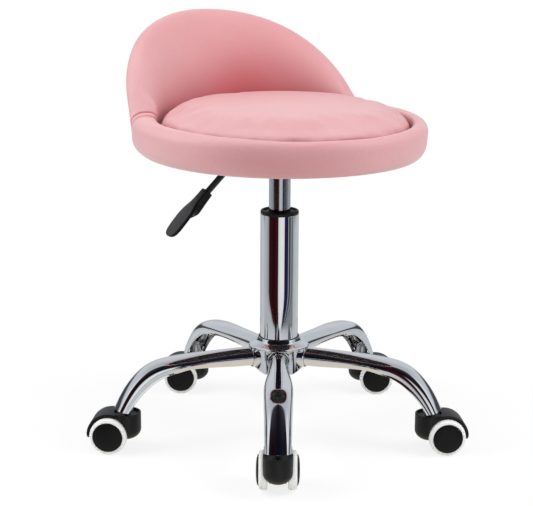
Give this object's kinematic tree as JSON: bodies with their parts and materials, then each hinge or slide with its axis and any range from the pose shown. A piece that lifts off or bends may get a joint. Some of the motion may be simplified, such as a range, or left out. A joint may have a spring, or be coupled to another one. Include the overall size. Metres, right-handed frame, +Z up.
{
  "type": "pedicure stool",
  "caption": "Low round padded stool with a low curved back, a gas-lift column with a side lever, and a five-arm chromed base on twin-wheel casters.",
  "frame": {"origin": "middle of the stool's bounding rectangle on the floor; the column axis stands at x 4.95 mm, y -26.0 mm", "axes": "+Z up along the column, +Y towards the low back, so the sitter faces -Y, and +X to the sitter's left"},
  "size_m": [0.4881, 0.442, 0.5503],
  "materials": {
    "leatherette": "satin, fine grain",
    "chrome": "mirror polish",
    "steel": "ground",
    "black_nylon": "satin moulded",
    "black_paint": "satin",
    "tyre_white": "satin moulded",
    "plywood": "raw",
    "fleece": "nonwoven",
    "zinc": "zinc plated"
  },
  "bodies": {
    "base": {"base_hub": "chrome", "base_arm_1": "chrome", "base_arm_2": "chrome", "base_arm_3": "chrome", "base_arm_4": "chrome", "base_arm_5": "chrome", "outer_tube": "chrome", "guide_bushing": "black_nylon", "thrust_bearing": "steel", "retaining_clip": "steel"},
    "column_rod": {"piston_rod": "steel"},
    "seat": {"gas_cylinder": "chrome", "seat_plate": "black_paint", "seat_board": "plywood", "dust_cover": "fleece", "seat_cushion": "leatherette", "seat_ring": "leatherette", "backrest": "leatherette", "seat_screw_1": "zinc", "seat_screw_2": "zinc", "seat_screw_3": "zinc", "seat_screw_4": "zinc"},
    "lever": {"lever_rod": "black_paint", "lever_grip": "black_nylon"},
    "valve_button": {"release_button": "steel"},
    "caster_1": {"caster_hood_1": "black_nylon", "caster_stem_1": "steel", "caster_axle_1": "steel"},
    "wheel_1l": {"wheel_tyre_1l": "tyre_white", "wheel_core_1l": "black_nylon"},
    "wheel_1r": {"wheel_tyre_1r": "tyre_white", "wheel_core_1r": "black_nylon"},
    "caster_2": {"caster_hood_2": "black_nylon", "caster_stem_2": "steel", "caster_axle_2": "steel"},
    "wheel_2l": {"wheel_tyre_2l": "tyre_white", "wheel_core_2l": "black_nylon"},
    "wheel_2r": {"wheel_tyre_2r": "tyre_white", "wheel_core_2r": "black_nylon"},
    "caster_3": {"caster_hood_3": "black_nylon", "caster_stem_3": "steel", "caster_axle_3": "steel"},
    "wheel_3l": {"wheel_tyre_3l": "tyre_white", "wheel_core_3l": "black_nylon"},
    "wheel_3r": {"wheel_tyre_3r": "tyre_white", "wheel_core_3r": "black_nylon"},
    "caster_4": {"caster_hood_4": "black_nylon", "caster_stem_4": "steel", "caster_axle_4": "steel"},
    "wheel_4l": {"wheel_tyre_4l": "tyre_white", "wheel_core_4l": "black_nylon"},
    "wheel_4r": {"wheel_tyre_4r": "tyre_white", "wheel_core_4r": "black_nylon"},
    "caster_5": {"caster_hood_5": "black_nylon", "caster_stem_5": "steel", "caster_axle_5": "steel"},
    "wheel_5l": {"wheel_tyre_5l": "tyre_white", "wheel_core_5l": "black_nylon"},
    "wheel_5r": {"wheel_tyre_5r": "tyre_white", "wheel_core_5r": "black_nylon"}
  },
  "joints": [
    {"name": "seat_swivel", "type": "hinge", "parent": "base", "child": "column_rod", "pos_m": [0.00495, -0.026, 0.1], "axis": [0, 0, 1], "continuous": true},
    {"name": "seat_lift", "type": "slide", "parent": "column_rod", "child": "seat", "axis": [0, 0, 1], "range_m": [-0.041, 0.069]},
    {"name": "lever_lift", "type": "hinge", "parent": "seat", "child": "lever", "pos_m": [-0.01505, -0.026, 0.374], "axis": [0, 1, 0], "range_deg": [0, 5], "stiffness_Nm_per_rad": 3},
    {"name": "valve_press", "type": "slide", "parent": "seat", "child": "valve_button", "axis": [0, 0, -1], "range_m": [0, 0.0025]},
    {"name": "caster_1_swivel", "type": "hinge", "parent": "base", "child": "caster_1", "pos_m": [-0.10115, -0.20258, 0.06], "axis": [0, 0, 1], "continuous": true},
    {"name": "wheel_1l_spin", "type": "hinge", "parent": "caster_1", "child": "wheel_1l", "pos_m": [-0.09033, -0.18458, 0.024], "axis": [-0.8572, 0.515, 0], "continuous": true},
    {"name": "wheel_1r_spin", "type": "hinge", "parent": "caster_1", "child": "wheel_1r", "pos_m": [-0.09033, -0.18458, 0.024], "axis": [-0.8572, 0.515, 0], "continuous": true},
    {"name": "caster_2_swivel", "type": "hinge", "parent": "base", "child": "caster_2", "pos_m": [0.1401, -0.18147, 0.06], "axis": [0, 0, 1], "continuous": true},
    {"name": "wheel_2l_spin", "type": "hinge", "parent": "caster_2", "child": "wheel_2l", "pos_m": [0.15897, -0.19068, 0.024], "axis": [0.4384, 0.8988, 0], "continuous": true},
    {"name": "wheel_2r_spin", "type": "hinge", "parent": "caster_2", "child": "wheel_2r", "pos_m": [0.15897, -0.19068, 0.024], "axis": [0.4384, 0.8988, 0], "continuous": true},
    {"name": "caster_3_swivel", "type": "hinge", "parent": "base", "child": "caster_3", "pos_m": [0.19457, 0.05449, 0.06], "axis": [0, 0, 1], "continuous": true},
    {"name": "wheel_3l_spin", "type": "hinge", "parent": "caster_3", "child": "wheel_3l", "pos_m": [0.21257, 0.04367, 0.024], "axis": [0.515, 0.8572, 0], "continuous": true},
    {"name": "wheel_3r_spin", "type": "hinge", "parent": "caster_3", "child": "wheel_3r", "pos_m": [0.21257, 0.04367, 0.024], "axis": [0.515, 0.8572, 0], "continuous": true},
    {"name": "caster_4_swivel", "type": "hinge", "parent": "base", "child": "caster_4", "pos_m": [-0.013, 0.17922, 0.06], "axis": [0, 0, 1], "continuous": true},
    {"name": "wheel_4l_spin", "type": "hinge", "parent": "caster_4", "child": "wheel_4l", "pos_m": [-0.03101, 0.19003, 0.024], "axis": [-0.515, -0.8572, 0], "continuous": true},
    {"name": "wheel_4r_spin", "type": "hinge", "parent": "caster_4", "child": "wheel_4r", "pos_m": [-0.03101, 0.19003, 0.024], "axis": [-0.515, -0.8572, 0], "continuous": true},
    {"name": "caster_5_swivel", "type": "hinge", "parent": "base", "child": "caster_5", "pos_m": [-0.19577, 0.02034, 0.06], "axis": [0, 0, 1], "continuous": true},
    {"name": "wheel_5l_spin", "type": "hinge", "parent": "caster_5", "child": "wheel_5l", "pos_m": [-0.21276, 0.03268, 0.024], "axis": [-0.5878, -0.809, 0], "continuous": true},
    {"name": "wheel_5r_spin", "type": "hinge", "parent": "caster_5", "child": "wheel_5r", "pos_m": [-0.21276, 0.03268, 0.024], "axis": [-0.5878, -0.809, 0], "continuous": true}
  ],
  "couplings": [
    {"joint": "valve_press", "follows": "lever_lift", "m_per_rad": 0.022}
  ]
}
